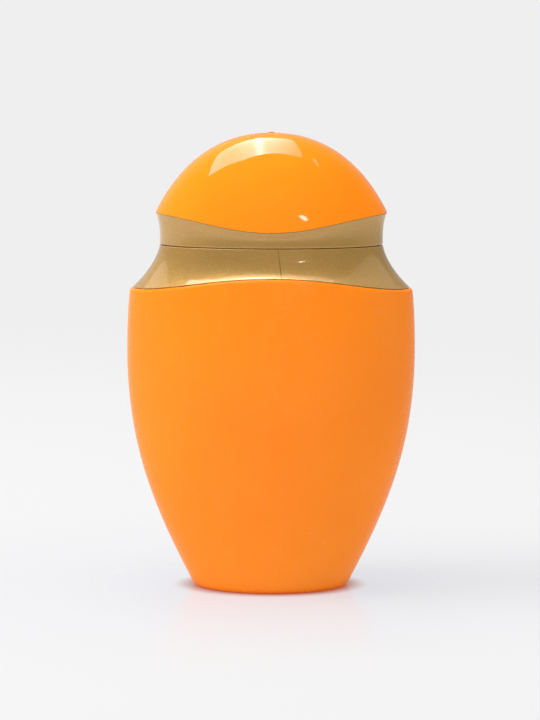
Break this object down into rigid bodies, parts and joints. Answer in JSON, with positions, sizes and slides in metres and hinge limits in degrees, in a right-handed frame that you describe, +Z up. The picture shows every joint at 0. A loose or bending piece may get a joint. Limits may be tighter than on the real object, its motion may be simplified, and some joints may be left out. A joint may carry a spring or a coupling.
{
  "type": "sunscreen bottle",
  "caption": "Oval lotion bottle with a flared gold shoulder collar, a lift-off domed oval cap and a lotion pump with dip tube, press head and return spring.",
  "frame": {"origin": "under the middle of the foot, on the plane that it stands on", "axes": "+Z up, +X along the width, the pictured wide face looks towards -Y and the nozzle towards +Y"},
  "size_m": [0.08, 0.0404, 0.1273],
  "materials": {
    "orange_satin": "satin blow-moulded polyethylene",
    "orange_gloss": "high-gloss moulded",
    "gold_plastic": "gloss plastic with fine pearl flake",
    "white_plastic": "moulded polypropylene",
    "natural_plastic": "natural polypropylene or polyethylene",
    "steel": "bright stainless wire and ball"
  },
  "bodies": {
    "bottle_body": {"bottle": "orange_satin", "shoulder_collar": "gold_plastic", "pump_closure": "white_plastic", "neck_gasket": "natural_plastic", "pump_housing": "natural_plastic", "stem_guide": "white_plastic", "dip_tube": "natural_plastic", "spring_seat": "natural_plastic", "return_spring": "steel"},
    "cap": {"cap_dome": "orange_gloss", "cap_skirt": "gold_plastic", "cap_liner": "natural_plastic"},
    "plunger": {"pump_stem": "white_plastic", "stem_tip": "natural_plastic"},
    "piston": {"pump_piston": "natural_plastic"},
    "head": {"pump_head": "white_plastic", "nozzle_insert": "white_plastic"},
    "ball": {"inlet_ball": "steel"}
  },
  "joints": [
    {"name": "cap_lift", "type": "slide", "parent": "bottle_body", "child": "cap", "axis": [0, 0, 1], "range_m": [0, 0.045]},
    {"name": "pump_press", "type": "slide", "parent": "bottle_body", "child": "plunger", "axis": [0, 0, -1], "range_m": [0, 0.004], "stiffness_N_per_m": 790, "springref_m": -0.006, "deforming": ["return_spring"]},
    {"name": "head_turn", "type": "hinge", "parent": "plunger", "child": "head", "pos_m": [0, 0, 0.1125], "axis": [0, 0, 1], "continuous": true},
    {"name": "piston_shift", "type": "slide", "parent": "plunger", "child": "piston", "axis": [0, 0, 1], "range_m": [0, 0.0006]},
    {"name": "ball_lift", "type": "slide", "parent": "bottle_body", "child": "ball", "axis": [0, 0, 1], "range_m": [0, 0.0008]}
  ]
}
